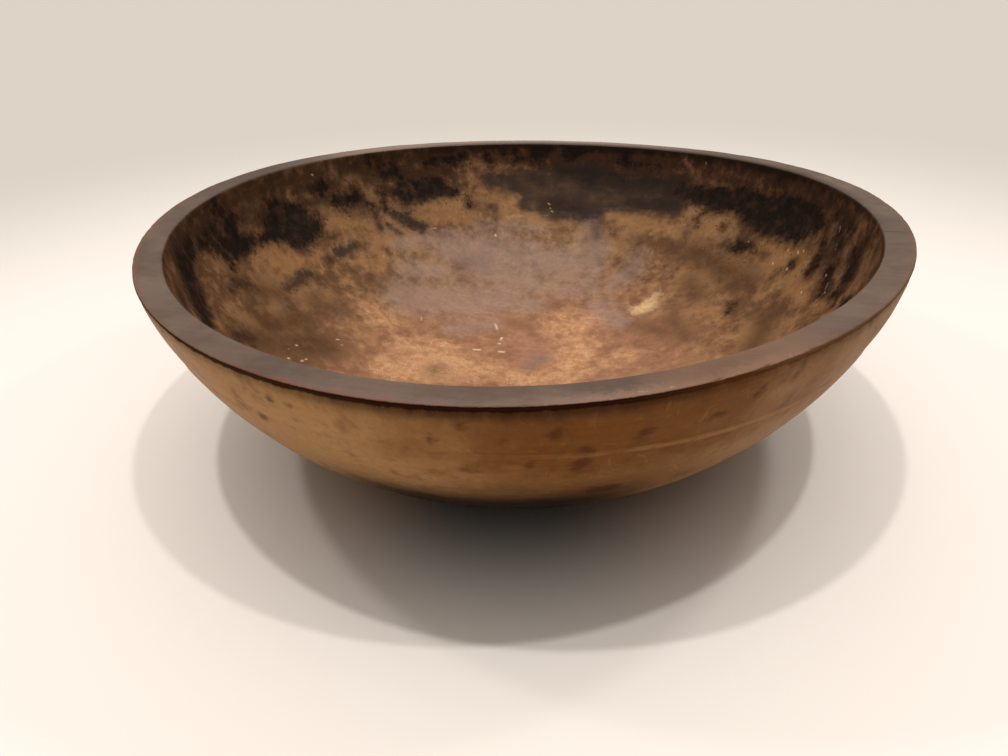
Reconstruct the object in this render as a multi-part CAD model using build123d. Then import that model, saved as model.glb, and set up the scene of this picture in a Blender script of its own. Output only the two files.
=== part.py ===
from build123d import *
import os
from math import cos, radians, sin

# A dough bowl turned from one block of hardwood: a round hollow, a flat rim, a faint
# turned line round the outside and a flat base. The block was turned before it was
# dry, so the rim has since warped into a saddle, which rises along the grain and dips
# across it. +X runs along the grain, +Z is up, and the origin is the middle of the base.

# Driving dimensions in millimetres, and angles in degrees
RIM_RADIUS = 230.0        # outside of the rim at its mean height
RIM_HEIGHT = 145.0        # mean height of the rim's top above the table
RIM_WARP = 4.85           # rise of the rim along the grain, and its dip across the grain
OUTER_EDGE_ROUND = 1.5    # worn outside corner of the rim
INNER_EDGE_ROUND = 2.5    # worn inside corner of the rim
BLANK_HEIGHT = 152.0      # the turned blank, before its warped top is cut
BLANK_RADIUS = 230.6      # outside of the blank's top
BLANK_WALL = 16.0         # thickness of the wall there
BLANK_LEAN = 2.6          # how far the wall leans out from upright there
LINE_HEIGHT = 107.0       # turned line round the outside
LINE_RADIUS = 218.3       # belly's radius at that line
LINE_LEAN = 24.9          # how far the wall leans out there
LINE_STEP = 0.8           # the belly stands this far proud of the band above the line
FOOT_RADIUS = 92.0        # flat base
FOOT_SLOPE = 14.9         # rise of the belly from the table at the edge of the base
FLOOR_THICKNESS = 18.0    # wood under the middle of the hollow

# How far each curve of the section reaches along the direction of its end, in millimetres
BAND_PULL_TOP = 24.0
BAND_PULL_LINE = 4.9
BELLY_PULL_LINE = 41.0
BELLY_PULL_FOOT = 73.3
HOLLOW_PULL_TOP = 56.0
HOLLOW_PULL_FLOOR = 132.0
HOLLOW_SHOULDER = (159.0, 51.0)   # radius and height that pull the hollow's curve outwards


def down_wall(start, lean, length):
    """The point at length down a wall that leans inwards from start."""
    turn = radians(lean)
    return (start[0] - length * sin(turn), start[1] - length * cos(turn))


def half_section():
    """Half of the turned blank's section, from its axis to the outside of its top."""
    axis_base = (0.0, 0.0)
    axis_floor = (0.0, FLOOR_THICKNESS)
    foot = (FOOT_RADIUS, 0.0)
    line_belly = (LINE_RADIUS, LINE_HEIGHT)
    line_band = (LINE_RADIUS - LINE_STEP, LINE_HEIGHT)
    top_outside = (BLANK_RADIUS, BLANK_HEIGHT)
    top_inside = (BLANK_RADIUS - BLANK_WALL, BLANK_HEIGHT)

    with BuildSketch(Plane.XZ) as section:
        with BuildLine():
            Line(axis_floor, axis_base)
            Line(axis_base, foot)
            Bezier(
                foot,
                down_wall(foot, 90.0 - FOOT_SLOPE, -BELLY_PULL_FOOT),
                down_wall(line_belly, LINE_LEAN, BELLY_PULL_LINE),
                line_belly,
            )
            Line(line_belly, line_band)
            Bezier(
                line_band,
                down_wall(line_band, LINE_LEAN, -BAND_PULL_LINE),
                down_wall(top_outside, BLANK_LEAN, BAND_PULL_TOP),
                top_outside,
            )
            Line(top_outside, top_inside)
            Bezier(
                top_inside,
                down_wall(top_inside, BLANK_LEAN, HOLLOW_PULL_TOP),
                HOLLOW_SHOULDER,
                (HOLLOW_PULL_FLOOR, FLOOR_THICKNESS),
                axis_floor,
            )
        make_face()
    return section.sketch


def rim_height(x_square, y_square):
    """Height of the warped rim, from the squares of the distances along and across the grain."""
    return RIM_HEIGHT + RIM_WARP * (x_square - y_square) / RIM_RADIUS**2


def above_rim():
    """What is cut away above the rim, down to its warped top."""
    reach = 1.1 * BLANK_RADIUS
    steps = (-reach, 0.0, reach)
    # A quadratic patch whose poles have these heights follows the square of its coordinate
    squares = (reach**2, -(reach**2), reach**2)
    along = list(zip(steps, squares))
    poles = [[(x, y, rim_height(x_square, y_square)) for y, y_square in along] for x, x_square in along]
    warped_top = Face.make_bezier_surface(poles)
    return extrude(warped_top, amount=2 * (BLANK_HEIGHT - RIM_HEIGHT), dir=(0, 0, 1))


def rim_corners(bowl):
    """The inside and the outside corner of the rim, in that order."""
    return bowl.faces().filter_by(GeomType.BEZIER).edges().sort_by(SortBy.LENGTH)


def turned_bowl():
    """The whole bowl: turned, warped at the rim and worn at the rim's two corners."""
    bowl = revolve(half_section(), axis=Axis.Z) - above_rim()
    bowl = fillet(rim_corners(bowl)[-1], OUTER_EDGE_ROUND)
    return fillet(rim_corners(bowl)[0], INNER_EDGE_ROUND)


os.makedirs("parts", exist_ok=True)
export_step(turned_bowl(), "parts/bowl.step")
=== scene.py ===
from math import comb, cos, pi, radians, sin

import bpy
import numpy as np
from mathutils import Matrix, Vector


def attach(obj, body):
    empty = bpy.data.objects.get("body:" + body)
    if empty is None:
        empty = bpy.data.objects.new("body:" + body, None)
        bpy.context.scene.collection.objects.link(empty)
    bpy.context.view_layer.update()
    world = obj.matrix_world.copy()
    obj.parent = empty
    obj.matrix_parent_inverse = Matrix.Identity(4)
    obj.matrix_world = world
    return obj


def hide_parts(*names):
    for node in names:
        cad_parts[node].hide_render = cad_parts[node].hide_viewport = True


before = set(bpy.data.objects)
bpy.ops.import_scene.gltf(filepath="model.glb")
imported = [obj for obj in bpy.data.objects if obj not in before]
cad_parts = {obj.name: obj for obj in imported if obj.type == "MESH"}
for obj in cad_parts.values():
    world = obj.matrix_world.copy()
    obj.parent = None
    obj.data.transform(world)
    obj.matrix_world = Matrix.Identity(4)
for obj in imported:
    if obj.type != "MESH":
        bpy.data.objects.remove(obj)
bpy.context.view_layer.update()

# Bowl
# The whole object is one block of hardwood, turned inside and out on a lathe with the grain along X.
# The wood shrank as it dried, so the rim has warped to a saddle, high at the two end-grain sides.
MM = 0.001
RIM_RADIUS = 230.0
RIM_HEIGHT = 145.0
RIM_WARP = 4.85
OUTER_EDGE_ROUND = 1.5
INNER_EDGE_ROUND = 1.6
BLANK_TOP = (230.6, 152.0)
BLANK_LEAN = radians(2.6)
HOLLOW_TOP = (214.6, 152.0)
HOLLOW_SHOULDER = (159.0, 51.0)
HOLLOW_PULL = 56.0
FLOOR_EDGE = (132.0, 18.0)
FLOOR_MIDDLE = (0.0, 18.0)
LINE_LOW = (218.3, 107.0)
LINE_HIGH = (217.5, 107.0)
LINE_LEAN = radians(24.9)
LINE_SPREAD = 5.0
LINE_CREST = 1.2
BAND_PULL_LOW = 4.9
BAND_PULL_HIGH = 24.0
BELLY_PULL_LOW = 73.3
BELLY_PULL_HIGH = 41.0
FOOT = (92.0, 0.0)
FOOT_LEAN = radians(75.1)
LIP_HEIGHT = 7.0
COVE_DEPTH = 0.7
COVE_AT_BACK = 0.25
DEEPEST_COVE = radians(275.0)
WEAR_DEPTH = 0.3
WEAR_SIZE = 30.0
CHIP_DEPTH = 1.1
CHIP_SIZE = 7.0
CHIPPED_SIDE = radians(297.0)
AROUND = 720
WELD_REACH = 0.02
CREASE_ANGLE = 0.6


class Wire:
    """One output of a node tree. Arithmetic on wires adds Math nodes to that tree."""

    def __init__(self, tree, socket=None):
        self.tree = tree
        self.socket = socket

    def node(self, kind, settings=None, sockets=None, give=0):
        """Adds a node: its settings first, then the values or wires of its inputs; gives one output."""
        made = self.tree.nodes.new(kind)
        for name, value in (settings or {}).items():
            setattr(made, name, value)
        for key, value in (sockets or {}).items():
            for one in value if isinstance(value, list) else [value]:
                entry = pick(made.inputs, key)
                if isinstance(one, Wire):
                    self.tree.links.new(one.socket, entry)
                else:
                    entry.default_value = one
        return Wire(self.tree, pick(made.outputs, give)) if made.outputs else None

    def other(self, key):
        """Another output of the node that this wire comes from."""
        return Wire(self.tree, pick(self.socket.node.outputs, key))

    def math(self, operation, *values):
        return self.node("ShaderNodeMath", {"operation": operation}, dict(enumerate(values)))

    def __add__(self, other):
        return self.math("ADD", self, other)

    def __sub__(self, other):
        return self.math("SUBTRACT", self, other)

    def __mul__(self, other):
        return self.math("MULTIPLY", self, other)

    def __truediv__(self, other):
        return self.math("DIVIDE", self, other)

    def __pow__(self, other):
        return self.math("POWER", self, other)

    def __rsub__(self, other):
        return self.math("SUBTRACT", other, self)

    def __rtruediv__(self, other):
        return self.math("DIVIDE", other, self)

    __radd__ = __add__
    __rmul__ = __mul__

    def step(self, low, high):
        """0 up to low, 1 from high on, and a smooth rise between; low may be the larger."""
        sockets = {"Value": self, "From Min": low, "From Max": high}
        return self.node("ShaderNodeMapRange", {"interpolation_type": "SMOOTHSTEP"}, sockets)


def pick(sockets, key):
    """A node's socket by its place, or the one in use by its name."""
    if isinstance(key, int):
        return sockets[key]
    return next(s for s in sockets if s.name == key and s.enabled)


def leaning(start, lean, reach):
    """The point of the section at reach above start, on a line that leans outwards."""
    return start[0] + reach * sin(lean), start[1] + reach * cos(lean)


def bezier(t, poles):
    """A Bezier curve's radius and height at t, which is a number or a wire."""
    degree = len(poles) - 1
    shares = [comb(degree, i) * (1 - t) ** (degree - i) * t ** i for i in range(degree + 1)]
    return tuple(sum(s * p[k] for s, p in zip(shares, poles)) for k in (0, 1))


def crossing(poles, height):
    """Where a section curve that runs up or down passes a height, by halving."""
    low, high = 0.0, 1.0
    rising = poles[-1][1] > poles[0][1]
    for _ in range(50):
        middle = (low + high) / 2
        if (bezier(middle, poles)[1] < height) == rising:
            low = middle
        else:
            high = middle
    return low


BELLY = [
    FOOT,
    leaning(FOOT, FOOT_LEAN, BELLY_PULL_LOW),
    leaning(LINE_LOW, LINE_LEAN, -BELLY_PULL_HIGH),
    LINE_LOW,
]
BAND = [
    LINE_HIGH,
    leaning(LINE_HIGH, LINE_LEAN, BAND_PULL_LOW),
    leaning(BLANK_TOP, BLANK_LEAN, -BAND_PULL_HIGH),
    BLANK_TOP,
]
HOLLOW = [
    HOLLOW_TOP,
    leaning(HOLLOW_TOP, BLANK_LEAN, -HOLLOW_PULL),
    HOLLOW_SHOULDER,
    FLOOR_EDGE,
    FLOOR_MIDDLE,
]

bowl_tree = bpy.data.node_groups.new("turned_bowl", "GeometryNodeTree")
bowl_tree.interface.new_socket("Geometry", in_out="OUTPUT", socket_type="NodeSocketGeometry")
BOWL_SIZES = {
    "Rim height": RIM_HEIGHT,
    "Rim warp": RIM_WARP,
    "Cove depth": COVE_DEPTH,
    "Wear": WEAR_DEPTH,
    "Chips": CHIP_DEPTH,
}
bowl_inputs = {}
for size_name in BOWL_SIZES:
    bowl_inputs[size_name] = bowl_tree.interface.new_socket(
        size_name, in_out="INPUT", socket_type="NodeSocketFloat"
    )
lathe = Wire(bowl_tree)
given = lathe.node("NodeGroupInput")
rim_height, rim_warp = given.other("Rim height"), given.other("Rim warp")


def saddle(radius, swing):
    """Height of the warped rim's top at a radius, where swing is the cosine of twice the angle."""
    return rim_height + rim_warp * swing * (radius / RIM_RADIUS) ** 2


def follow_rim(poles, drop, swing):
    """Where a wall is drop below the rim's top: a curve through its lowest, middle and highest place."""
    radius = bezier(crossing(poles, RIM_HEIGHT), poles)[0]
    rise = RIM_WARP * (radius / RIM_RADIUS) ** 2
    low, middle, high = (crossing(poles, RIM_HEIGHT - drop + rise * side) for side in (-1, 0, 1))
    return middle + swing * ((high - low) / 2) + swing * swing * ((high + low) / 2 - middle)


ARC_PULL = 0.55


def rounded(t, start, corner, end):
    """A round corner from start to end at t."""
    poles = [start]
    for point in (start, end):
        poles.append(tuple(p + (c - p) * ARC_PULL for p, c in zip(point, corner)))
    return bezier(t, poles + [end])


def turned(rings, section):
    """One turned face as a grid bent round the axis; section gives radius, height and zone."""
    sockets = {"Size X": 1.0, "Size Y": 1.0, "Vertices X": AROUND + 1, "Vertices Y": rings + 1}
    grid = lathe.node("GeometryNodeMeshGrid", None, sockets)
    across = lathe.node("ShaderNodeSeparateXYZ", None, {0: grid.other("UV Map")})
    angle = across * (2 * pi)
    swing = lathe.math("COSINE", angle * 2.0)
    radius, height, zone = section(across.other("Y"), swing, angle)
    place = lathe.node(
        "ShaderNodeCombineXYZ",
        None,
        {
            "X": lathe.math("COSINE", angle) * radius * MM,
            "Y": lathe.math("SINE", angle) * radius * MM,
            "Z": height * MM,
        },
    )
    named = lathe.node(
        "GeometryNodeStoreNamedAttribute",
        {"data_type": "FLOAT", "domain": "POINT"},
        {"Geometry": grid, "Name": "zone", "Value": zone},
    )
    return lathe.node("GeometryNodeSetPosition", None, {"Geometry": named, "Position": place})


OUTSIDE, RIM, INSIDE = 0.0, 1.0, 2.0


def base_face(t, swing, angle):
    return t * FOOT[0], t * 0.0, OUTSIDE


def belly_face(t, swing, angle):
    return *bezier(t, BELLY), OUTSIDE


LINE_TOP = crossing(BAND, LINE_LOW[1] + LINE_SPREAD)


def line_face(t, swing, angle):
    crest = leaning(LINE_LOW, LINE_LEAN, LINE_CREST)
    poles = [LINE_LOW, crest, bezier(LINE_TOP / 2, BAND), bezier(LINE_TOP, BAND)]
    return *bezier(t, poles), OUTSIDE


def band_face(t, swing, angle):
    high = follow_rim(BAND, LIP_HEIGHT, swing)
    return *bezier(LINE_TOP + t * (high - LINE_TOP), BAND), OUTSIDE


def lip_face(t, swing, angle):
    low = follow_rim(BAND, LIP_HEIGHT, swing)
    high = follow_rim(BAND, OUTER_EDGE_ROUND, swing)
    radius, height = bezier(low + t * (high - low), BAND)
    hollowed = lathe.math("SINE", t * t * pi) * given.other("Cove depth")
    front = lathe.math("COSINE", angle - DEEPEST_COVE).step(-0.2, 0.9)
    return radius - hollowed * (COVE_AT_BACK + front * (1 - COVE_AT_BACK)), height, OUTSIDE


def outer_corner_face(t, swing, angle):
    start = bezier(follow_rim(BAND, OUTER_EDGE_ROUND, swing), BAND)
    corner = bezier(follow_rim(BAND, 0.0, swing), BAND)
    end_radius = corner[0] - OUTER_EDGE_ROUND
    return *rounded(t, start, corner, (end_radius, saddle(end_radius, swing))), t


def top_radii(swing):
    """Radii of the flat top's outer and inner edge."""
    outer = bezier(follow_rim(BAND, 0.0, swing), BAND)[0]
    inner = bezier(follow_rim(HOLLOW, 0.0, swing), HOLLOW)[0]
    return outer - OUTER_EDGE_ROUND, inner + INNER_EDGE_ROUND


def top_face(t, swing, angle):
    outer, inner = top_radii(swing)
    radius = outer + t * (inner - outer)
    return radius, saddle(radius, swing), RIM


def inner_corner_face(t, swing, angle):
    start_radius = top_radii(swing)[1]
    corner = bezier(follow_rim(HOLLOW, 0.0, swing), HOLLOW)
    end = bezier(follow_rim(HOLLOW, INNER_EDGE_ROUND, swing), HOLLOW)
    return *rounded(t, (start_radius, saddle(start_radius, swing)), corner, end), RIM + t


def hollow_face(t, swing, angle):
    start = follow_rim(HOLLOW, INNER_EDGE_ROUND, swing)
    return *bezier(start + t * (1 - start), HOLLOW), INSIDE


faces = [
    turned(3, base_face),
    turned(24, belly_face),
    turned(4, line_face),
    turned(8, band_face),
    turned(8, lip_face),
    turned(4, outer_corner_face),
    turned(7, top_face),
    turned(4, inner_corner_face),
    turned(73, hollow_face),
]
joined = lathe.node("GeometryNodeJoinGeometry", None, {0: faces})
weld_sockets = {"Geometry": joined, "Distance": WELD_REACH * MM}
welded = lathe.node("GeometryNodeMergeByDistance", None, weld_sockets)
where = lathe.node("GeometryNodeInputPosition")
zone_here = lathe.node(
    "GeometryNodeInputNamedAttribute", {"data_type": "FLOAT"}, {"Name": "zone"}, "Attribute"
)


def unevenness(size):
    """Noise over the bowl's surface with lumps of a size in mm."""
    sockets = {"Vector": where, "Scale": 1.0 / (size * MM), "Detail": 2.0}
    return lathe.node("ShaderNodeTexNoise", None, sockets)


waves = unevenness(WEAR_SIZE)
nibbles = unevenness(CHIP_SIZE)
here = lathe.node("ShaderNodeSeparateXYZ", None, {0: where})
bearing_here = lathe.math("ARCTAN2", here.other("Y"), here)
off_base = (here.other("Z") / MM).step(0.2, 6.0)
on_edge = zone_here.step(0.0, 0.4) * zone_here.step(1.0, 0.6)
chipped_side = lathe.math("COSINE", bearing_here - CHIPPED_SIDE).step(0.90, 0.99)
chips = on_edge * nibbles.step(0.5, 0.7) * (0.25 + chipped_side * 0.75)
worn_off = given.other("Wear") * waves.step(0.2, 0.8) * off_base + given.other("Chips") * chips
pushed_in = lathe.node(
    "ShaderNodeVectorMath",
    {"operation": "SCALE"},
    {"Vector": lathe.node("GeometryNodeInputNormal"), "Scale": worn_off * -MM},
)
worn = lathe.node("GeometryNodeSetPosition", None, {"Geometry": welded, "Offset": pushed_in})
creased = lathe.math("GREATER_THAN", lathe.node("GeometryNodeInputMeshEdgeAngle"), CREASE_ANGLE)
smooth = lathe.node(
    "GeometryNodeSetShadeSmooth",
    {"domain": "FACE"},
    {"Geometry": worn, "Shade Smooth": True},
)
sharp = lathe.node(
    "GeometryNodeSetShadeSmooth",
    {"domain": "EDGE"},
    {"Geometry": smooth, "Selection": creased, "Shade Smooth": False},
)
realized = lathe.node("GeometryNodeRealizeInstances", None, {"Geometry": sharp})

wood = bpy.data.materials.new("old_turned_wood")
wood.use_nodes = True
finished = lathe.node("GeometryNodeSetMaterial", None, {"Geometry": realized, "Material": wood})
lathe.node("NodeGroupOutput", None, {"Geometry": finished})

carrier = bpy.data.objects.new("bowl_carrier", bpy.data.meshes.new("bowl_carrier"))
bpy.context.scene.collection.objects.link(carrier)
maker = carrier.modifiers.new("turned_bowl", "NODES")
maker.node_group = bowl_tree
for size_name, size in BOWL_SIZES.items():
    maker[bowl_inputs[size_name].identifier] = size
ready = carrier.evaluated_get(bpy.context.evaluated_depsgraph_get())
bowl_mesh = bpy.data.meshes.new_from_object(ready)
bpy.data.objects.remove(carrier)
bowl = bpy.data.objects.new("turned_bowl", bowl_mesh)
bpy.context.scene.collection.objects.link(bowl)

# Marks of use on the bowl
# Wet dough and iron tools left black stains on the wall of the hollow, worst along the back.
# Kneading and scraping wore its floor to golden wood, and hands spotted the outside.

# The hollow's section in fine steps, and how far each is down the wall from the rim's mean height.
SECTION_STEPS = 2001
SECTION = np.array([bezier(t, HOLLOW) for t in np.linspace(0.0, 1.0, SECTION_STEPS)])
RUN = np.concatenate([[0.0], np.cumsum(np.hypot(*np.diff(SECTION, axis=0).T))])
RUN -= np.interp(-RIM_HEIGHT, -SECTION[:, 1], RUN)
# A mark is stored as mm inside its edge. This is the value at a point far from every mark.
OUT_OF_REACH = -14.0

# Outlines of the large stains, each corner an angle and a depth in mm down the wall from the rim.
LEFT_STAINS = [
    [
        (168, 13), (165.6, 14.4), (164, 19), (162, 23), (160, 27), (160, 34), (157.3, 40),
        (157, 45), (159, 52), (161, 57), (165, 59.5), (168, 56.5), (169, 50), (170.6, 45.7),
        (175, 42.3), (176.6, 39), (175.6, 34), (173, 30.7), (172.6, 25.7), (170, 22.3), (169, 16.5),
    ],
    [
        (182.6, 11.5), (179.5, 11), (178.3, 16), (179.8, 24), (180.2, 30), (177.5, 32), (176.4, 37),
        (178.5, 40), (183, 42.5), (186, 39), (186.8, 32), (185.2, 22), (183.4, 16),
    ],
    [
        (203.5, 8), (198, 13), (196.5, 20), (202, 24.5), (203.8, 36), (208.5, 47), (213.5, 50),
        (217, 41), (212, 30.5), (208.5, 20.5), (207, 13),
    ],
    [
        (156.8, 14), (154.6, 12.6), (152.2, 15), (151.2, 19), (152.6, 24), (154.4, 25.5),
        (155.8, 21),
    ],
    [
        (152.4, 27), (150, 25.5), (148.2, 29), (146.6, 28), (146, 25), (144.4, 27), (143.6, 33),
        (142.4, 39), (140.8, 45.5), (140, 48.5), (142.2, 46), (144.6, 41), (147.2, 38.2),
        (150, 36.5), (152.4, 35.5),
    ],
    [
        (127.4, 12), (124, 9.6), (121.6, 10.4), (120.2, 8.6), (116.2, 9.6), (115.6, 15),
        (118.6, 17), (120, 19.4), (123, 20), (126.6, 19),
    ],
    [
        (131, 28.5), (128.4, 26.5), (125.6, 27), (123.6, 28.4), (123, 31), (122.6, 34),
        (120.6, 38.2), (118.8, 40), (119.6, 45), (121.2, 47.5), (125, 46.5), (129, 47.4),
        (130.6, 44), (130.2, 35),
    ],
]
BACK_STAINS = [
    [
        (101, 4), (94.5, 3.5), (95, 10), (95.8, 13.5), (97.2, 20), (99.6, 22), (100.6, 15),
    ],
    [
        (93, 5), (89, 3.8), (84, 5), (81.8, 7.5), (84, 10.6), (87.2, 10.8), (88.2, 15),
        (90.2, 19.5), (92.2, 19.5), (92.8, 13),
    ],
    [
        (80, 3.8), (75, 3.4), (70, 2.8), (69.8, 6.5), (75, 7.4), (76.2, 11.5), (75, 15.6),
        (72, 14.8), (69.2, 13), (67.6, 15.8), (69, 19), (74, 20), (77.2, 20.8), (79.8, 19),
    ],
]
RIGHT_STAINS = [
    [
        (53, 24), (50, 22.3), (45.6, 19), (41.6, 19), (38.6, 17.3), (35.6, 14.8), (32, 12.8),
        (28, 11.5), (23, 12.3), (20.6, 16.5), (19.9, 21.5), (20.3, 28), (22, 32.3), (23.6, 36.5),
        (25, 41.5), (26.6, 44), (29, 44.8), (33, 47.3), (38, 48.2), (41.6, 46.5), (43, 42.3),
        (46, 39.8), (49, 43.2), (53, 44), (60, 40), (60, 27),
    ],
    [
        (41.6, 56), (37, 56.5), (34.8, 60.5), (36.4, 63), (37.2, 65), (39.6, 68.6), (42.2, 67.5),
        (41.6, 62),
    ],
]
# A thin dark film lies along the back, inside this one outline.
BACK_VEIL = [
    (112.6, 28), (110, 27), (100, 25.7), (95, 24), (93, 20.7), (80, 21.5), (77, 26.5), (70, 26.5),
    (65, 23), (60, 25.7), (51, 25.7), (50, 43), (53, 43), (55, 40.7), (57.6, 42.3), (58.9, 46.5),
    (59.1, 53), (60.6, 54.8), (67, 57), (70.6, 59), (80, 60.7), (80.4, 66.5), (80.6, 70.3),
    (90, 71.5), (94, 72.3), (97, 69.8), (98.6, 65.7), (102.6, 64), (104, 58), (103, 52.3),
    (105, 48.2), (108.6, 45.7), (111, 41.5), (113, 34.8),
]

# Dabs are angle and depth at both ends of a stroke, then half its width in mm.
# A half width below 0 leaves only the stroke's soft edge.
LEFT_DABS = [
    (149.6, 40.5, 149.4, 43.5, 1.8), (139.7, 3, 139.9, 9, 2.5), (138, 8, 136.5, 19, 4),
    (134.8, 11, 133.8, 18, 3.5), (137, 16, 133.5, 20, 3.5), (134, 21, 132.3, 30, 4),
    (134.6, 36, 132, 43, 5), (133.4, 30, 133.4, 36, 2.5), (138.6, 36, 138.9, 48, 3.2),
    (188.5, 40.5, 188.3, 42, 2), (184.6, 3, 184, 14, 4), (190, 17, 187.5, 34, 5),
    (197, 12, 201, 18, 6), (187.4, 16, 186, 30, 5), (193, 18, 190, 26, 4),
    (111, 14, 110.2, 18, 3.2), (108.5, 4, 107, 10, 4), (104, 12, 103, 16, 3.5),
    (116.9, 52, 116.7, 56, 1.8), (183.5, -2, 182, 8, 4),
]
RIGHT_DABS = [
    (62, 33, 50, 35, 5), (42, 1, 34, 1, 2.5), (38.3, 7, 38, 13, 2), (27.5, 6, 27, 10, 1.5),
    (18.2, 9, 17.8, 12, 2), (14.5, 14, 10.5, 14.5, 3.5), (14, 17, 14.8, 24, 3),
    (12.5, 22, 12, 29, 2), (17.5, 30, 17.3, 31, 2), (16, 38, 15, 50, 4), (8.4, 33, 8.2, 38, 2.2),
    (9, 41, 6, 51, 5), (4.5, 23, 1, 32, 7), (3.2, 10, 3, 22, 2.5), (2, 40, 1, 46, 3),
    (-1, 40, -1.5, 46, 2), (47.5, 52.5, 46.9, 54, 0.6), (54.8, 53, 54.6, 56, 1.5),
    (22.2, 54, 22, 58, 2), (27, 102, 25.8, 108, 2.5),
]
# Grey smoky marks lower on the wall, and the darkest streaks of the film at the back.
SMOKY_DABS = [
    (178.5, 77, 173.5, 78.5, 4.5), (172, 74, 169.5, 78, 4), (157.5, 73, 151.5, 72, 4.5),
    (154.5, 77, 154, 78, 3), (160.5, 72, 161, 77, 2), (142.2, 51, 142.2, 63, 3),
    (140, 63, 137.5, 72, 2), (194.8, 52.5, 192, 53.5, 3.5), (137, 55, 134, 58, 4),
    (135, 61, 131, 70, 3.5),
]
DEEP_DABS = [
    (82.5, 70, 80.5, 86, -1), (93, 27, 80, 29, 4), (88, 32, 62, 32, 6), (74, 50, 62, 49, 4),
    (97, 57, 84, 62, 3),
]
# Ground-in soil round the stains, grey patches of painted sheen, and rubbed brown places.
SOIL_DABS = [
    (176, 12, 169, 30, 6), (190, 12, 187, 40, 5), (170, 8, 152, 10, 5), (128, 6, 104, 8, 6),
    (40, 6, 12, 8, 7), (58, 14, 44, 18, 5), (100, 22, 62, 23, 5), (20, 20, 16, 40, 4),
    (187, 28, 178, 34, 9), (186, 10, 206, 8, 8), (178, 20, 171, 28, 6), (160, 14, 150, 20, 7),
    (159, 27, 148, 30, 6), (147, 8, 119, 10, 7), (140, 18, 120, 26, 8), (138, 30, 130, 42, 6),
    (137, 54, 134, 58, 5), (135.5, 60, 130.5, 72, 4.5), (158.5, 57, 154.6, 57, 2.5),
    (157.8, 62, 155.4, 61, 2.5), (184, 14, 182, 36, 6), (110.6, 59, 109.6, 67, 4),
    (209, 66, 206, 76, 6), (101, 12, 66, 12, 10), (58, 6, 24, 6, 6), (23, 38, 20, 38, 4),
    (15, 34, 5, 48, 6), (4, 16, 0, 38, 9), (44, 62, 43.8, 67, 2.5), (34, 61, 30.5, 60, 2),
    (168.2, 82, 168.2, 92, 2), (157.3, 85, 157, 88, 1.5), (24.2, 62, 24, 69, 1.7),
    (190, 52, 188, 60, 4), (16, 12, 11, 30, 6),
]
SHEEN_DABS = [
    (115, 74, 112, 79, 3), (108, 79, 97, 77, 3), (83.5, 72, 82, 95, 6), (80, 95, 79, 128, 9),
    (96, 128, 86, 127, 5), (138, 80, 128, 84, 5), (124, 95, 100, 110, 16), (95, 115, 84, 110, 14),
    (115, 120, 100, 135, 14), (140, 105, 128, 118, 8),
]
BROWN_DABS = [
    (196, 86, 185, 103, 11), (186, 104, 188.5, 114, 9), (205, 84, 190, 125, 16),
    (189, 64, 182, 76, 7), (82, 74, 79.5, 104, 3.5), (55, 82, 30, 84, 10), (46, 104, 40, 112, 7),
    (13, 90, 5, 108, 11), (38, 141, 27, 143, 6), (153, 104, 152, 114, 3), (121, 110, 117, 112, 5),
    (68, 85, 66, 110, 5), (176, 98, 171, 112, 6),
]
# Bare pale nicks.
PALE_DABS = [(108, 69, 99, 66, 0.5), (86.6, 90, 86.6, 94, 0.5), (65.3, 72, 65.3, 75, 0.3)]
# Flecks of old flour are small strokes of the same kind.
FLECKS = [
    (155, 6.6, 154.6, 7.4, 0.7), (110.5, 85.4, 110.4, 86.6, 0.9), (95.7, 56.5, 95.2, 57.5, 0.6),
    (95, 61, 94.8, 61.4, 0.5), (94.6, 63.6, 94.2, 64.4, 0.6), (57.5, 8, 57.4, 9, 0.7),
    (26.1, 48, 26, 48.6, 0.8), (22.9, 45.2, 22.6, 46.2, 0.8), (21.6, 42.6, 21.4, 43, 0.7),
    (38.1, 56.1, 38, 56.4, 0.7), (22.4, 58.8, 22.2, 59.4, 0.8), (27.4, 61.2, 27.2, 62, 0.8),
    (12.1, 62.8, 11.9, 63.2, 0.8), (9.4, 44, 9.3, 44.2, 0.7), (4.9, 50.2, 4.7, 50.6, 0.8),
    (196.6, 108.2, 196.3, 108.9, 0.8), (200.1, 104.3, 199.9, 104.8, 0.55),
    (204.7, 105.8, 204.3, 106.3, 0.9), (202.8, 115, 202.2, 116, 0.8),
    (201.1, 117.6, 200.4, 118.4, 0.8), (183.7, 130.6, 183.3, 131.6, 0.7),
    (185.3, 135.8, 185.1, 136.3, 0.6), (128.6, 72.6, 127.2, 73, 0.5), (15.2, 16, 14.6, 19, 0.45),
    (13.2, 26, 12.6, 29, 0.45), (6.6, 46, 5.8, 49, 0.45), (-11.2, 23, -10.8, 24, 0.9),
]
FLOOR_FLECKS = [
    (-39.4, 77, -36.4, 71, 0.9), (-30, 58, -29.8, 60, 1.1), (-30.5, 52, -29.4, 52.2, 1.0),
    (-27, 41.2, -23.4, 41.6, 1.1), (-46.5, 38.2, -42.2, 39.4, 1.1), (-72, 33.4, -69.8, 35.4, 0.7),
    (-60, 36.6, -57.6, 38.4, 0.5), (-97, 61, -96.4, 58, 0.6),
]
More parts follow.
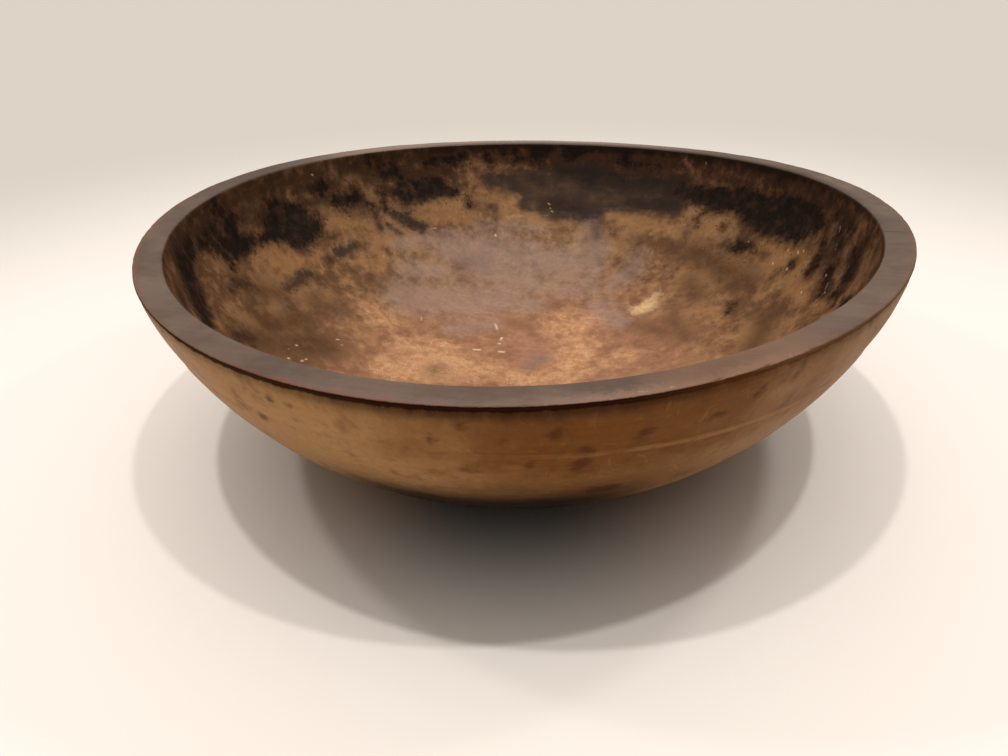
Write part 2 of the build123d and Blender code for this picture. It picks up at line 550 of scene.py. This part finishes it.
# Tan places where the wall is worn clean, just below the stains.
TAN_DABS = [
    (181, 50, 173, 48, 5), (176, 56, 170, 64, 6), (156, 44, 150, 50, 5), (150, 52, 144, 60, 5),
    (147, 66, 143, 74, 4), (130, 52, 118, 54, 5), (113, 50, 106, 56, 4), (108, 66, 99, 67, 3),
    (100, 74, 92, 77, 3), (78, 64, 60, 66, 4), (58, 50, 50, 54, 4), (34, 52, 24, 58, 5),
    (20, 60, 10, 66, 6), (166, 70, 162, 66, 3), (153, 58, 149, 62, 4), (152, 88, 148, 96, 5),
    (130, 62, 115, 67, 5), (33, 118, 24, 116, 4),
]
# On the floor the places are along X and Y.
WORN_DABS = [(72, 101, 84, 103, 6.5), (78, 106, 86, 112, 5)]
GOLD_DABS = [
    (-90, -14, -60, 5, 14), (-75, 8, -35, 12, 13), (30, 22, 33, 60, 12), (10, 85, 30, 88, 10),
    (-5, 5, 30, 14, 8), (-95, 20, -70, 30, 8), (60, 40, 70, 45, 3), (-132, 42, -120, 40, 6),
]
FLOOR_SHEEN_DABS = [
    (-115, 75, -40, 110, 16), (-70, 60, -45, 75, 8), (40, 110, 60, 90, 8), (0, 28, 6, 40, 3),
    (-45, 118, -15, 108, 8), (-15, 127, 32, 129, 7), (48, 130, 66, 146, 6),
]
DARK_DABS = [(-66, -3, -64, 3, 5), (2, 24, 6, 38, 3), (-28, 81, -12, 81, 1), (70, 85, 95, 70, 4)]
# On the outside they are an angle and a height.
SPOT_DABS = [
    (220.3, 64, 220, 66, 2), (251, 109, 250.5, 108, 2.5), (247.8, 111.5, 247.5, 113, 2),
    (248.2, 119, 248, 120, 1.5), (255.2, 128, 254.8, 126, 2), (257.8, 127.5, 257.5, 126, 2),
    (263.2, 86, 264, 85, 2.5), (277.5, 131, 277.6, 129, 3.5), (274, 121, 274, 120, 3),
    (287.2, 124.5, 287, 123, 3.5), (290.5, 102, 290, 101, 4.5), (290.5, 113, 290.7, 110, 3.5),
    (282, 120.5, 281.4, 119.5, 2.4), (297, 120.5, 296.6, 118, 3.5), (310, 131, 309.5, 129, 3),
    (293, 74, 296, 73, 5), (284.5, 104.5, 284.4, 102, 2.5), (277.2, 100, 277, 99, 2.5),
    (315, 137, 314.5, 133, 2.5), (306, 122, 304, 121, 2),
]

points = np.zeros(len(bowl_mesh.vertices) * 3, np.float32)
bowl_mesh.vertices.foreach_get("co", points)
points = points.reshape(-1, 3).astype(float) / MM
zones = np.zeros(len(points), np.float32)
bowl_mesh.attributes["zone"].data.foreach_get("value", zones)
angles = np.degrees(np.arctan2(points[:, 1], points[:, 0]))
inwards = -np.hypot(points[:, 0], points[:, 1]) - points[:, 2]
depths = np.interp(inwards, -SECTION.sum(axis=1), RUN)
inside, outside = zones > 1.5, zones < 0.5


def from_line(u, v, start, end):
    """Distances of points from a line between two ends."""
    across, down = end[0] - start[0], end[1] - start[1]
    along = ((u - start[0]) * across + (v - start[1]) * down) / max(across**2 + down**2, 1e-6)
    along = np.clip(along, 0.0, 1.0)
    return np.hypot(u - start[0] - along * across, v - start[1] - along * down)


def within(u, v, corners, half_width):
    """How far points are inside a dab with two ends or an outline; below 0 they are outside."""
    if len(corners) == 2:
        return half_width - from_line(u, v, *corners)
    away = np.full(len(u), np.inf)
    enclosed = np.zeros(len(u), bool)
    for start, end in zip(corners, corners[1:] + corners[:1]):
        away = np.minimum(away, from_line(u, v, start, end))
        if start[1] != end[1]:
            crossed = start[0] + (v - start[1]) * (end[0] - start[0]) / (end[1] - start[1])
            enclosed ^= ((start[1] > v) != (end[1] > v)) & (u < crossed)
    return np.where(enclosed, away, -away)


def round_the_wall(radius_at, heights, marks):
    """Marks given by angle and place on a turned wall, as the greatest depth inside any of them."""
    best = np.full(len(points), OUT_OF_REACH)
    for corners, half_width in marks:
        middle, place = np.mean(corners, axis=0)
        per_degree = radians(1.0) * radius_at(place)
        u = ((angles - middle + 180.0) % 360.0 - 180.0) * per_degree
        flat = [((angle - middle) * per_degree, down) for angle, down in corners]
        near = np.abs(u) < max(abs(f[0]) for f in flat) + half_width - OUT_OF_REACH
        best[near] = np.maximum(best[near], within(u[near], heights[near], flat, half_width))
    return best


def on_the_floor(marks):
    """Marks given along X and Y, as the greatest depth inside any of them."""
    best = np.full(len(points), OUT_OF_REACH)
    for corners, half_width in marks:
        best = np.maximum(best, within(points[:, 0], points[:, 1], corners, half_width))
    return best


def dabbed(dabs):
    return [([(a0, d0), (a1, d1)], width) for a0, d0, a1, d1, width in dabs]


def outlined(outlines):
    return [(outline, 0.0) for outline in outlines]


def turned_on(marks, by):
    """The same marks further round the bowl, for the side that faces away."""
    return [([(angle + by, place) for angle, place in corners], width) for corners, width in marks]


def hollow_radius(depth):
    return np.interp(depth, RUN, SECTION[:, 0])


def outside_radius(height):
    poles = BELLY if height < LINE_LOW[1] else BAND
    return bezier(crossing(poles, height), poles)[0]


def store(name, values, shown):
    made = bowl_mesh.attributes.new(name, "FLOAT", "POINT")
    made.data.foreach_set("value", np.where(shown, values, OUT_OF_REACH).astype(np.float32))


def all_over(wall_dabs, floor_dabs):
    """Dabs on the wall and on the floor of the hollow together."""
    return np.maximum(round_the_wall(*wall, dabbed(wall_dabs)), on_the_floor(dabbed(floor_dabs)))


# The hidden half has the seen half's marks again, turned by these angles.
LEFT_TO_NEAR = 140.0
RIGHT_TO_NEAR = 205.0
SOIL_TO_REPEAT = 14
SPOTS_TO_SIDE = 127.0
SPOTS_TO_BACK = 230.0
left_black = outlined(LEFT_STAINS) + dabbed(LEFT_DABS)
right_black = outlined(RIGHT_STAINS) + dabbed(RIGHT_DABS)
near_black = turned_on(left_black, LEFT_TO_NEAR) + turned_on(outlined(RIGHT_STAINS), RIGHT_TO_NEAR)
all_black = left_black + outlined(BACK_STAINS) + right_black + near_black
soil = dabbed(SOIL_DABS)
spots = dabbed(SPOT_DABS)
wall = (hollow_radius, depths)
store("stain", round_the_wall(*wall, all_black), inside)
store("soil", round_the_wall(*wall, soil + turned_on(soil[:SOIL_TO_REPEAT], LEFT_TO_NEAR)), inside)
store("smoky", round_the_wall(*wall, dabbed(SMOKY_DABS)), inside)
store("deep", round_the_wall(*wall, dabbed(DEEP_DABS)), inside)
store("veil", round_the_wall(*wall, outlined([BACK_VEIL])), inside)
store("bloom", all_over(SHEEN_DABS, FLOOR_SHEEN_DABS), inside)
store("brown", all_over(BROWN_DABS, DARK_DABS), inside)
store("pale", all_over(PALE_DABS, WORN_DABS), inside)
store("tan", round_the_wall(*wall, dabbed(TAN_DABS)), inside)
store("gold", on_the_floor(dabbed(GOLD_DABS)), inside)
all_spots = spots + turned_on(spots, SPOTS_TO_SIDE) + turned_on(spots, SPOTS_TO_BACK)
store("spot", round_the_wall(outside_radius, points[:, 2], all_spots), outside)

# Old wood
# Bare hardwood that has gone brown with age, rubbed by dough and hands to a satin sheen.
# The hollow is stained and scraped, the rim is dark and worn at its edges, the outside is golden.


def paint(red, green, blue):
    """A colour as a screen shows it, 0 to 255, as the shader's own linear values."""
    shown = [v / 255.0 for v in (red, green, blue)]
    return *(v / 12.92 if v < 0.04 else ((v + 0.055) / 1.055) ** 2.4 for v in shown), 1.0


shader_tree = wood.node_tree
shader_tree.nodes.clear()
look = Wire(shader_tree)
place = look.node("ShaderNodeTexCoord", None, None, "Object")
split = look.node("ShaderNodeSeparateXYZ", None, {0: place})
along_x, along_y, up_z = split / MM, split.other("Y") / MM, split.other("Z") / MM
out_from_axis = look.math("SQRT", along_x * along_x + along_y * along_y)
below_rim = RIM_HEIGHT - up_z + (along_x * along_x - along_y * along_y) * (RIM_WARP / RIM_RADIUS**2)


def attribute(name):
    return look.node("ShaderNodeAttribute", {"attribute_name": name}, None, "Fac")


def noise(size, detail=3.0, stretch=(1.0, 1.0, 1.0), turn=0.0, shift=0.0):
    """Noise about 0.5 with lumps of a size in mm, drawn out along axes that turn about Z."""
    sockets = {
        "Vector": place,
        "Location": (shift, shift, shift),
        "Rotation": (0.0, 0.0, turn),
        "Scale": tuple(size * s * MM for s in stretch),
    }
    moved = look.node("ShaderNodeMapping", {"vector_type": "TEXTURE"}, sockets)
    sockets = {"Vector": moved, "Scale": 1.0, "Detail": detail, "Roughness": 0.6}
    return look.node("ShaderNodeTexNoise", None, sockets)


def mix(first, second, share, blend="MIX"):
    sockets = {"Factor": share, "A": first, "B": second}
    return look.node("ShaderNodeMix", {"data_type": "RGBA", "blend_type": blend}, sockets, "Result")


def toned(colour, light):
    """A colour made lighter or darker by a factor."""
    grey = look.node("ShaderNodeCombineColor", None, {"Red": light, "Green": light, "Blue": light})
    return mix(colour, grey, 1.0, "MULTIPLY")


ALONG_GRAIN = (14.0, 1.0, 1.0)
DOWN_WALL = (1.0, 1.0, 1.7)
ROUND_BOWL = (40.0, 40.0, 1.0)
ACROSS_FLOOR = (1.0, 9.0, 1.0)
grain = noise(3.0, 4.0, ALONG_GRAIN)
pores = noise(0.9, 2.0, (8.0, 1.0, 1.0))
mottle = noise(34.0, 4.0)
smudges = noise(15.0, 3.0, shift=0.9)
crumbs = noise(2.6, 3.0, (1.0, 1.0, 1.5), shift=0.4)
clouds = noise(9.0, 4.0, shift=0.7)
curds = noise(4.5, 2.0, shift=0.35)
end_grain = (look.math("ABSOLUTE", along_x) / out_from_axis).step(0.55, 0.9)
drips = noise(7.0, 4.0, DOWN_WALL, shift=0.2)
smears = noise(6.0, 4.0, (3.0, 1.0, 1.0), shift=0.6)
blots = smears + (drips - smears) * end_grain
ragged = (blots - 0.5) * 14.0 + (curds - 0.5) * 9.0 + (crumbs - 0.5) * 7.0
zone = attribute("zone") + (crumbs - 0.5) * 0.3
bearing = look.math("ARCTAN2", along_y, along_x)


def towards(degrees, low, high):
    """1 on the side of the bowl that faces an angle, falling to 0 from the cosine high to low."""
    return look.math("COSINE", bearing - radians(degrees)).step(low, high)


# The hollow: brown walls, darker towards the rim, and a rubbed floor.
WALL_DARK = paint(94, 66, 45)
WALL_LIGHT = paint(136, 101, 69)
DUSK_DARK = paint(54, 37, 28)
DUSK_LIGHT = paint(98, 64, 45)
FLOOR_DARK = paint(132, 93, 69)
FLOOR_LIGHT = paint(150, 108, 84)
GOLD_DARK = paint(174, 128, 92)
GOLD_LIGHT = paint(194, 150, 111)
RUBBED_BROWN = paint(74, 51, 34)
SHEEN_GREY = paint(147, 122, 109)
CLEAN_TAN = paint(152, 112, 75)
BARE_WOOD = paint(206, 172, 130)
SCRATCH_PALE = paint(214, 176, 136)
SOIL_BROWN = paint(50, 33, 23)
VEIL_GREY = paint(54, 43, 39)
VEIL_BLACK = paint(30, 23, 21)
SMOKE_GREY = paint(46, 37, 32)
SPATTER_BROWN = paint(48, 30, 20)
STAIN_EDGE = paint(60, 40, 27)
STAIN_BLACK = paint(18, 12, 9)
STAIN_GREY = paint(44, 32, 26)
RIM_SHADOW_BLACK = paint(28, 17, 11)
FLOUR_PALE = paint(212, 186, 154)
black = attribute("stain") + ragged
wall_shade = (mottle + (clouds - 0.5) * 0.5 + (drips - 0.5) * 0.2).step(0.34, 0.64)
wall_colour = mix(WALL_DARK, WALL_LIGHT, wall_shade)
back = towards(70.0, 0.2, 0.9)
far_end = towards(8.0, 0.75, 0.98)
dusky = (below_rim + (drips - 0.5) * 40.0).step(44.0, 6.0) * (0.45 + back * 0.45 + far_end * 0.2)
dusky_colour = mix(DUSK_DARK, DUSK_LIGHT, clouds.step(0.42, 0.62))
wall_colour = mix(wall_colour, dusky_colour, dusky)
floor_share = (out_from_axis + (mottle - 0.5) * 110.0).step(170.0, 80.0)
floor_shade = (mottle + (clouds - 0.5) * 0.6).step(0.3, 0.7)
floor_colour = mix(FLOOR_DARK, FLOOR_LIGHT, floor_shade)
hollow_colour = mix(wall_colour, floor_colour, floor_share)
gold = attribute("gold") + ragged * 0.7 + (clouds - 0.5) * 26.0
gold_colour = mix(GOLD_DARK, GOLD_LIGHT, (curds + clouds - 0.5).step(0.3, 0.7))
hollow_colour = mix(hollow_colour, gold_colour, gold.step(-18.0, 14.0) * 0.8)
brown = attribute("brown") + ragged + (clouds - 0.5) * 20.0
hollow_colour = mix(hollow_colour, RUBBED_BROWN, brown.step(-11.0, 12.0) * 0.75)
# Painted sheen: grey patches that stand for light reflected off the rubbed wood of the hollow.
bloom = attribute("bloom") + ragged * 0.5 + (clouds - 0.5) * 20.0
hollow_colour = mix(hollow_colour, SHEEN_GREY, bloom.step(-12.0, 9.0) * 0.6)
tan = attribute("tan") + ragged * 0.9
hollow_colour = mix(hollow_colour, CLEAN_TAN, tan.step(-7.0, 5.0) * 0.65)
pale = attribute("pale") + ragged * 0.6
hollow_colour = mix(hollow_colour, BARE_WOOD, pale.step(-2.0, 6.0) * 0.8)
scratches = noise(0.9, 2.0, ACROSS_FLOOR, 0.35, 0.3).step(0.58, 0.7)
scratches = scratches + noise(0.9, 2.0, ACROSS_FLOOR, -0.8, 0.5).step(0.6, 0.7)
hollow_colour = mix(hollow_colour, SCRATCH_PALE, scratches * gold.step(-16.0, 6.0) * 0.3)
hollow_light = 0.5 + grain * 0.26 + crumbs * 0.44 + drips * 0.12 + clouds * 0.18
hollow_colour = toned(hollow_colour, hollow_light)
soil_share = (attribute("soil") + ragged * 1.2).step(-6.0, 6.0)
hollow_colour = mix(hollow_colour, SOIL_BROWN, soil_share * 0.8)
veil_share = (attribute("veil") + ragged * 0.8).step(-4.0, 5.0)
hollow_colour = mix(hollow_colour, VEIL_GREY, veil_share * (0.55 + smears * 0.6))
deep = attribute("deep") + ragged * 0.5
hollow_colour = mix(hollow_colour, VEIL_BLACK, deep.step(-9.0, 5.0) * 0.65)
smoky = attribute("smoky") + ragged * 0.8
hollow_colour = mix(hollow_colour, SMOKE_GREY, smoky.step(-3.5, 3.5) * 0.85)
near_stain = (black + (clouds - 0.5) * 20.0).step(-14.0, -4.0)
spatter = noise(2.3, 2.0, DOWN_WALL, shift=0.8).step(0.6, 0.68) * near_stain
hollow_colour = mix(hollow_colour, SPATTER_BROWN, spatter * 0.75)
hollow_colour = mix(hollow_colour, STAIN_EDGE, black.step(-7.0, 0.0) * 0.55)
black_colour = mix(STAIN_BLACK, STAIN_GREY, clouds.step(0.42, 0.7))
hollow_colour = mix(hollow_colour, black_colour, black.step(-3.0, 4.0) * (0.72 + crumbs * 0.4))
# Painted shadow of the rim on the wall just below its inner edge, strongest at the back.
painted_rim_shadow = (below_rim + (crumbs - 0.5) * 4.0 + (clouds - 0.5) * 8.0).step(8.0, 2.0)
hollow_colour = mix(hollow_colour, RIM_SHADOW_BLACK, painted_rim_shadow * (0.5 + back * 0.4))


def on_floor(x, y):
    """A place on the hollow's surface, where it is seen from above."""
    return Vector((x, y, np.interp(-np.hypot(x, y), -SECTION[:, 0], SECTION[:, 1]))) * MM


def on_wall(turn, depth):
    radius = hollow_radius(depth)
    return on_floor(radius * cos(radians(turn)), radius * sin(radians(turn)))


strokes = [(on_wall(a0, d0), on_wall(a1, d1), width) for a0, d0, a1, d1, width in FLECKS]
strokes += [(on_floor(x0, y0), on_floor(x1, y1), width) for x0, y0, x1, y1, width in FLOOR_FLECKS]
flecks = 0.0
for start, end, half_width in strokes:
    run = end - start
    off = look.node("ShaderNodeVectorMath", {"operation": "SUBTRACT"}, {0: place, 1: start})
    sockets = {0: off, 1: run / run.length_squared}
    along = look.node("ShaderNodeVectorMath", {"operation": "DOT_PRODUCT"}, sockets, "Value")
    along = look.node("ShaderNodeClamp", None, {"Value": along})
    foot = look.node("ShaderNodeVectorMath", {"operation": "SCALE"}, {"Vector": run, "Scale": along})
    away = look.node("ShaderNodeVectorMath", {"operation": "DISTANCE"}, {0: off, 1: foot}, "Value") / MM
    mark = (away + (crumbs - 0.5) * 2.2).step(half_width * 1.6, half_width * 0.3) * half_width
    flecks = look.math("MAXIMUM", flecks, mark)
hollow_colour = mix(hollow_colour, FLOUR_PALE, flecks * 0.7)

# The rim: grey-brown, rubbed to red-brown along its outer edge and paler where it is chipped.
RIM_DARK = paint(84, 69, 60)
RIM_LIGHT = paint(104, 87, 77)
RED_EDGE = paint(118, 68, 46)
CHIPPED_WOOD = paint(152, 118, 98)
FRESH_CHIP = paint(206, 176, 150)
FRONT_SHEEN_GREY = paint(132, 110, 102)
RIM_TAN = paint(122, 88, 66)
BACK_RIM_SHEEN = paint(142, 120, 110)
LEFT_RIM_SHADE = paint(64, 50, 44)
INNER_EDGE_SHADE_BROWN = paint(50, 36, 30)
CRACK_BLACK = paint(34, 22, 16)
CRACK_PLACE = -12.6
rim_shade = (mottle + (grain - 0.5) * 0.25).step(0.3, 0.7)
rim_colour = mix(RIM_DARK, RIM_LIGHT, rim_shade)
rim_colour = toned(rim_colour, 0.85 + grain * 0.08 + crumbs * 0.22)
from_edge = RIM_RADIUS - out_from_axis + (drips - 0.5) * 10.0 + (crumbs - 0.5) * 8.0
red_wear = 0.22 + towards(192.0, 0.75, 0.97) * 0.55 + towards(262.0, 0.96, 0.995) * 0.5
rim_colour = mix(rim_colour, RED_EDGE, from_edge.step(3.6, 0.8) * red_wear)
chipped = towards(300.0, 0.955, 0.993)
rim_colour = mix(rim_colour, CHIPPED_WOOD, from_edge.step(9.0, 0.5) * chipped * 0.55)
fresh_chips = (crumbs - from_edge * 0.02).step(0.54, 0.64) * chipped
rim_colour = mix(rim_colour, FRESH_CHIP, fresh_chips * 0.6)
# Painted sheen: a paler grey band along the rim's outer edge in front.
front_edge_sheen = from_edge.step(9.0, 1.0) * towards(280.0, 0.9, 0.99)
rim_colour = mix(rim_colour, FRONT_SHEEN_GREY, front_edge_sheen * 0.3)
rim_colour = mix(rim_colour, RIM_TAN, towards(308.0, 0.97, 0.995) * 0.45)
# Painted sheen: the back of the rim, seen at a low angle, is paler grey.
rim_colour = mix(rim_colour, BACK_RIM_SHEEN, towards(112.0, 0.6, 0.98) * 0.7)
# Painted shade darkens the rim at the left back.
rim_colour = mix(rim_colour, LEFT_RIM_SHADE, towards(166.0, 0.92, 0.985) * 0.55)
# Painted shade along the rim's inner edge, at the back.
inner_edge_shade = (out_from_axis + (crumbs - 0.5) * 3.0).step(222.0, 216.0)
rim_colour = mix(rim_colour, INNER_EDGE_SHADE_BROWN, inner_edge_shade * back * 0.7)
from_crack = look.math("ABSOLUTE", along_y - CRACK_PLACE + (smears - 0.5) * 4.0)
crack = from_crack.step(0.9, 0.2) * along_x.step(212.0, 215.0)
rim_colour = mix(rim_colour, CRACK_BLACK, crack * along_x.step(229.0, 220.0) * 0.8)

# The outside: waxed and handled, golden at one side and redder in front, dark under the lip.
GOLDEN = paint(176, 132, 84)
SIDE_SHEEN_PALE = paint(184, 152, 120)
WAXED_BROWN = paint(116, 71, 25)
BELLY_TAN = paint(124, 92, 62)
SMUDGE_BROWN = paint(80, 43, 14)
CLOUD_PALE = paint(172, 128, 80)
TOOL_MARK = paint(156, 112, 66)
HAIRLINE_PALE = paint(196, 156, 108)
SPOT_BROWN = paint(74, 36, 7)
LINE_HIGHLIGHT = paint(180, 138, 92)
BELLY_SHADE_DARK = paint(20, 10, 5)
FRINGE_BROWN = paint(52, 28, 14)
LIP_BLACK = paint(36, 11, 2)
HAIRLINE_WIDTH = 0.008
on_belly = (up_z + (smudges - 0.5) * 40.0).step(112.0, 84.0)
far_right = towards(345.0, 0.6, 1.0)
far_left = towards(203.0, 0.7, 1.0)
gold_share = towards(222.0, 0.35, 0.85) + far_right * 0.6 + towards(100.0, 0.2, 0.9) * 0.4
gold_share = gold_share + (mottle - 0.5) * 0.8 + (on_belly - 0.5) * 0.25
gold_share = gold_share.step(0.0, 1.0)
# Painted sheen: the far left and right sides, seen edge-on, are paler.
gold_with_side_sheen = mix(GOLDEN, SIDE_SHEEN_PALE, (far_left + far_right) * 0.6)
outside_colour = mix(WAXED_BROWN, gold_with_side_sheen, gold_share)
outside_colour = mix(outside_colour, BELLY_TAN, on_belly * 0.3)
outside_colour = mix(outside_colour, SMUDGE_BROWN, smudges.step(0.5, 0.74) * 0.45)
pale_clouds = clouds.step(0.54, 0.74) * (0.12 + gold_share * 0.25)
outside_colour = mix(outside_colour, CLOUD_PALE, pale_clouds)
tool_marks = noise(2.4, 3.0, ROUND_BOWL).step(0.48, 0.75)
outside_colour = mix(outside_colour, TOOL_MARK, tool_marks * 0.16)
outside_colour = toned(outside_colour, 0.64 + grain * 0.26 + crumbs * 0.46)
wandering = look.math("ABSOLUTE", noise(30.0, 1.0, shift=0.1) - 0.5)
hairlines = wandering.step(HAIRLINE_WIDTH, HAIRLINE_WIDTH * 0.4) * clouds.step(0.45, 0.6)
outside_colour = mix(outside_colour, HAIRLINE_PALE, hairlines * 0.1)
spot_share = (attribute("spot") - 0.6 + ragged * 0.5).step(-2.0, 2.4)
outside_colour = mix(outside_colour, SPOT_BROWN, spot_share * 0.72)
# Painted highlight along the crest of the turned line, stronger towards the right.
from_line_crest = look.math("ABSOLUTE", up_z - LINE_LOW[1] - LINE_CREST)
line_highlight_share = (from_line_crest + (blots - 0.5) * 3.0).step(2.2, 0.3) * smudges.step(0.3, 0.6)
line_highlight_strength = 0.1 + towards(318.0, 0.8, 0.98) * 0.3
outside_colour = mix(outside_colour, LINE_HIGHLIGHT, line_highlight_share * line_highlight_strength)
# Painted shade, with some grime: the lower belly darkens towards the table, most in front.
front_shade_strength = towards(278.0, 0.87, 0.98) * 0.75 + 0.2
low_belly_shade = (up_z + (smudges - 0.5) * 14.0 + (crumbs - 0.5) * 6.0).step(90.0, 58.0)
outside_colour = mix(outside_colour, BELLY_SHADE_DARK, low_belly_shade * front_shade_strength)
fringe = (below_rim + (drips - 0.5) * 7.0).step(12.0, 3.0)
fringe_share = fringe * (0.25 + towards(281.0, 0.88, 0.99) * 0.5)
outside_colour = mix(outside_colour, FRINGE_BROWN, fringe_share)
front = towards(280.0, -0.1, 0.9)
lip_share = (below_rim + (crumbs - 0.5) * 1.4 + (drips - 0.5) * 2.0 - front * 0.9).step(3.6, 2.1)
lip_rubbed = towards(325.0, 0.82, 0.96)
outside_colour = mix(outside_colour, LIP_BLACK, lip_share * (0.95 - lip_rubbed * 0.45))

in_hollow = zone.step(1.4, 1.7)
colour = mix(outside_colour, rim_colour, zone.step(0.35, 0.6))
colour = mix(colour, hollow_colour, in_hollow)
height = grain * 0.4 + pores * 0.3 + crumbs * 0.5
bumped = look.node("ShaderNodeBump", None, {"Strength": 0.3, "Distance": 0.6 * MM, "Height": height})
on_rim = zone.step(0.4, 0.7) * zone.step(1.7, 1.4)
waxed = zone.step(0.3, 0.0) * (1.0 - lip_share)
rubbed_sheen = 0.03 + bloom.step(-14.0, 12.0) * 0.08
surface = look.node(
    "ShaderNodeBsdfPrincipled",
    None,
    {
        "Base Color": colour,
        "Roughness": 0.42 + crumbs * 0.25 + lip_share * zone.step(0.5, 0.2) * 0.4,
        "Specular IOR Level": 0.05,
        "Coat Weight": waxed * 0.03 + on_rim * 0.22 + in_hollow * rubbed_sheen,
        "Coat Roughness": 0.42,
        "Normal": bumped,
    },
)
look.node("ShaderNodeOutputMaterial", None, {"Surface": surface})

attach(bowl, "root")
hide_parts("bowl")

# Camera
# The view is from just in front of the bowl, above its rim, with a wide lens.
CAMERA_TURN = radians(13.73)
CAMERA_REACH = 476.7
CAMERA_HEIGHT = 294.3
CAMERA_HEADING = radians(1.463)
CAMERA_TILT = radians(29.674)
CAMERA_ROLL = radians(-1.712)
camera = bpy.data.objects.new("camera", bpy.data.cameras.new("camera"))
camera.data.sensor_width = 36.0
camera.data.lens = 27.07
camera.data.clip_start = 0.01
camera.matrix_world = (
    Matrix.Rotation(CAMERA_TURN, 4, "Z")
    @ Matrix.Translation((0.0, -CAMERA_REACH * MM, CAMERA_HEIGHT * MM))
    @ Matrix.Rotation(CAMERA_HEADING, 4, "Z")
    @ Matrix.Rotation(pi / 2 - CAMERA_TILT, 4, "X")
    @ Matrix.Rotation(CAMERA_ROLL, 4, "Z")
)
bpy.context.scene.collection.objects.link(camera)
bpy.context.scene.camera = camera

# Stage
# A pale table top that fades into an even backdrop, wide enough to stand behind every view.
FLOOR_COLOUR = (0.86, 0.82, 0.785, 1.0)
BACKDROP = paint(221, 211, 199)
bpy.ops.mesh.primitive_plane_add(size=8.0, location=(0, 0, 0))
floor = bpy.context.active_object
floor.name = "floor"
paper = bpy.data.materials.new("pale_paper")
paper.use_nodes = True
paper.node_tree.nodes.clear()
sheet = Wire(paper.node_tree)
sheet_place = sheet.node("ShaderNodeTexCoord", None, None, "Object")
from_middle = sheet.node("ShaderNodeVectorMath", {"operation": "LENGTH"}, {0: sheet_place}, "Value")
seen_far = from_middle.step(0.45, 1.1) * sheet.node("ShaderNodeLightPath", None, None, "Is Camera Ray")
lit = sheet.node("ShaderNodeBsdfPrincipled", None, {"Base Color": FLOOR_COLOUR, "Roughness": 0.8})
even = sheet.node("ShaderNodeEmission", None, {"Color": BACKDROP, "Strength": 1.0})
blended = sheet.node("ShaderNodeMixShader", None, {0: seen_far, 1: lit, 2: even})
sheet.node("ShaderNodeOutputMaterial", None, {"Surface": blended})
floor.data.materials.append(paper)

LOW_LIGHT = 0.01
HIGH_LIGHT = 2.1
CEILING_COLOUR = (1.0, 0.93, 0.85, 1.0)
CEILING_FOCUS = 5.0
world = bpy.data.worlds.new("room")
bpy.context.scene.world = world
world.use_nodes = True
world.node_tree.nodes.clear()
sky = Wire(world.node_tree)
direction = sky.node("ShaderNodeTexCoord", None, None, "Generated")
facing = sky.node("ShaderNodeSeparateXYZ", None, {0: direction})
ceiling = sky.math("MAXIMUM", facing.other("Z"), 0.0)
ceiling_strength = LOW_LIGHT + ceiling ** CEILING_FOCUS * HIGH_LIGHT
ceiling_light = {"Color": CEILING_COLOUR, "Strength": ceiling_strength}
ray = sky.node("ShaderNodeLightPath", None, None, "Is Camera Ray")
mirrored = sky.math("MAXIMUM", ray, ray.other("Is Glossy Ray"))
shades = [
    sky.node("ShaderNodeBackground", None, ceiling_light),
    sky.node("ShaderNodeBackground", None, {"Color": BACKDROP, "Strength": 1.0}),
]
seen = sky.node("ShaderNodeMixShader", None, {0: mirrored, 1: shades[0], 2: shades[1]})
sky.node("ShaderNodeOutputWorld", None, {"Surface": seen})

# Lamps
# Small lamps overhead, which throw the overlapping shadows of the rim on the table.
# Each has its place in mm, its watts and its width in metres.
LAMP_COLOUR = (1.0, 0.96, 0.91)
LAMPS = [
    (800.0, -178.0, 3200.0, 24.0, 0.12),
    (-700.0, -117.0, 929.0, 1.7, 0.08),
    (-400.0, -401.0, 3200.0, 26.0, 0.12),
    (500.0, 170.0, 767.0, 1.1, 0.08),
]
for x, y, z, watts, width in LAMPS:
    lamp = bpy.data.lights.new("lamp", "AREA")
    lamp.shape = "DISK"
    lamp.size = width
    lamp.energy = watts
    lamp.color = LAMP_COLOUR
    stand = bpy.data.objects.new("lamp", lamp)
    stand.location = (x * MM, y * MM, z * MM)
    stand.rotation_euler = (-stand.location).to_track_quat("-Z", "Y").to_euler()
    bpy.context.scene.collection.objects.link(stand)

bpy.context.scene.view_settings.view_transform = "Standard"
